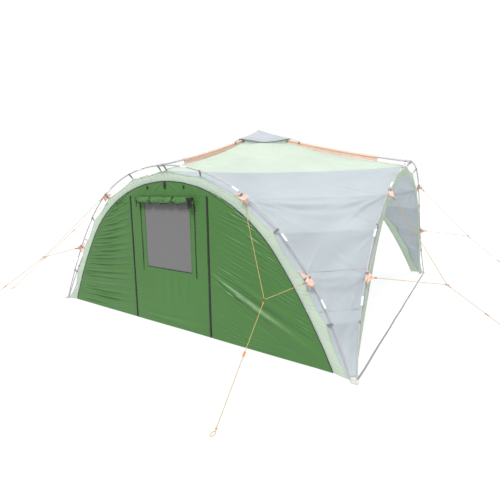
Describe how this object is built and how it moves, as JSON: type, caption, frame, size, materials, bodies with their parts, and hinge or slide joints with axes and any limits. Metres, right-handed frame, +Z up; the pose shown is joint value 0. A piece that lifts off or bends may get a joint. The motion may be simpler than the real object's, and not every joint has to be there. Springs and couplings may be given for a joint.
{
  "type": "screen house shelter",
  "caption": "Square dome shelter on arched poles with a peaked vented roof, open sides and one zipped wall with a door and a window, held by guy lines.",
  "frame": {"origin": "centre of the footprint on the ground", "axes": "+Z up, the zipped wall and its door face -Y"},
  "size_m": [6.8937, 5.5388, 2.408],
  "materials": {
    "arch_pole": "satin grey fibreglass pole",
    "ridge_pole": "satin grey powder coat",
    "ferrule": "bright drawn steel",
    "hub_plastic": "fine moulded texture",
    "foot_plastic": "fine moulded texture",
    "strap": "woven polyester webbing",
    "canopy_grey": "coated polyester, soft sheen",
    "roof_green": "coated polyester, soft sheen",
    "border_green": "coated polyester, soft sheen",
    "orange_cloth": "coated polyester, soft sheen",
    "cap_cloth": "coated polyester, soft sheen",
    "wall_green": "coated polyester, soft sheen",
    "insect_mesh": "fine knitted mesh",
    "zip_tape": "woven tape with coil teeth",
    "zip_metal": "black enamel",
    "elastic": "braided elastic",
    "rope": "braided cord",
    "line_plastic": "moulded nylon",
    "ring_steel": "polished",
    "toggle_plastic": "moulded nylon"
  },
  "bodies": {
    "shelter": {"arch_pole_front": "arch_pole", "arch_pole_right": "arch_pole", "arch_pole_back": "arch_pole", "arch_pole_left": "arch_pole", "ridge_pole_front": "ridge_pole", "ridge_pole_right": "ridge_pole", "ridge_pole_back": "ridge_pole", "ridge_pole_left": "ridge_pole", "pole_ferrules": "ferrule", "centre_hub": "hub_plastic", "arch_top_tees": "hub_plastic", "corner_feet": "foot_plastic", "base_straps": "strap", "roof_panel_front_right": "roof_green", "roof_panel_back_right": "roof_green", "roof_panel_back_left": "roof_green", "roof_panel_front_left": "roof_green", "corner_panel_front_right": "canopy_grey", "corner_panel_back_right": "canopy_grey", "corner_panel_back_left": "canopy_grey", "corner_panel_front_left": "canopy_grey", "arch_border_front": "border_green", "arch_border_right": "border_green", "arch_border_back": "border_green", "arch_border_left": "border_green", "ridge_sleeves": "orange_cloth", "vent_cap": "cap_cloth", "gussets": "orange_cloth", "pole_straps": "strap", "wall_panel_left": "wall_green", "wall_panel_right": "wall_green", "wall_panel_top": "wall_green", "wall_zip_tapes": "zip_tape", "wall_toggles": "toggle_plastic", "guy_rings": "ring_steel", "bridle_front_right": "rope", "bridle_front_left": "rope", "bridle_left_front": "rope", "bridle_right_front": "rope", "bridle_right_back": "rope", "guy_line_front_right": "rope", "guy_line_front_left": "rope", "guy_line_left_front": "rope", "guy_line_right_front": "rope", "guy_line_right_back": "rope"},
    "door": {"door_panel": "wall_green", "window_mesh": "insect_mesh", "window_cover_roll": "wall_green", "roll_ties": "elastic", "window_zip_tapes": "zip_tape"},
    "door_slider_left": {"door_slider_left": "zip_metal"},
    "door_slider_right": {"door_slider_right": "zip_metal"},
    "window_slider_left": {"window_slider_left": "zip_metal"},
    "window_slider_right": {"window_slider_right": "zip_metal"},
    "tensioner_front_right": {"tensioner_front_right": "line_plastic"},
    "tensioner_front_left": {"tensioner_front_left": "line_plastic"},
    "tensioner_left_front": {"tensioner_left_front": "line_plastic"},
    "tensioner_right_front": {"tensioner_right_front": "line_plastic"},
    "tensioner_right_back": {"tensioner_right_back": "line_plastic"}
  },
  "joints": [
    {"name": "door_lift", "type": "hinge", "parent": "shelter", "child": "door", "pos_m": [0, -2.05, 1.508], "axis": [-1, 0, 0], "range_deg": [0, 90]},
    {"name": "door_zip_left", "type": "slide", "parent": "shelter", "child": "door_slider_left", "axis": [0, 0, 1], "range_m": [0, 1.42]},
    {"name": "door_zip_right", "type": "slide", "parent": "shelter", "child": "door_slider_right", "axis": [0, 0, 1], "range_m": [0, 1.42]},
    {"name": "window_zip_left", "type": "slide", "parent": "door", "child": "window_slider_left", "axis": [0, 0, -1], "range_m": [0, 0.7]},
    {"name": "window_zip_right", "type": "slide", "parent": "door", "child": "window_slider_right", "axis": [0, 0, -1], "range_m": [0, 0.7]},
    {"name": "tension_front_right", "type": "slide", "parent": "shelter", "child": "tensioner_front_right", "axis": [0.0296, -0.7216, -0.6916], "range_m": [0, 0.4]},
    {"name": "tension_front_left", "type": "slide", "parent": "shelter", "child": "tensioner_front_left", "axis": [-0.4462, -0.6839, -0.5771], "range_m": [0, 0.4]},
    {"name": "tension_left_front", "type": "slide", "parent": "shelter", "child": "tensioner_left_front", "axis": [-0.5714, -0.4856, -0.6616], "range_m": [0, 0.4]},
    {"name": "tension_right_front", "type": "slide", "parent": "shelter", "child": "tensioner_right_front", "axis": [0.6654, 0.4376, -0.6048], "range_m": [0, 0.4]},
    {"name": "tension_right_back", "type": "slide", "parent": "shelter", "child": "tensioner_right_back", "axis": [0.7372, 0.1521, -0.6584], "range_m": [0, 0.4]}
  ]
}
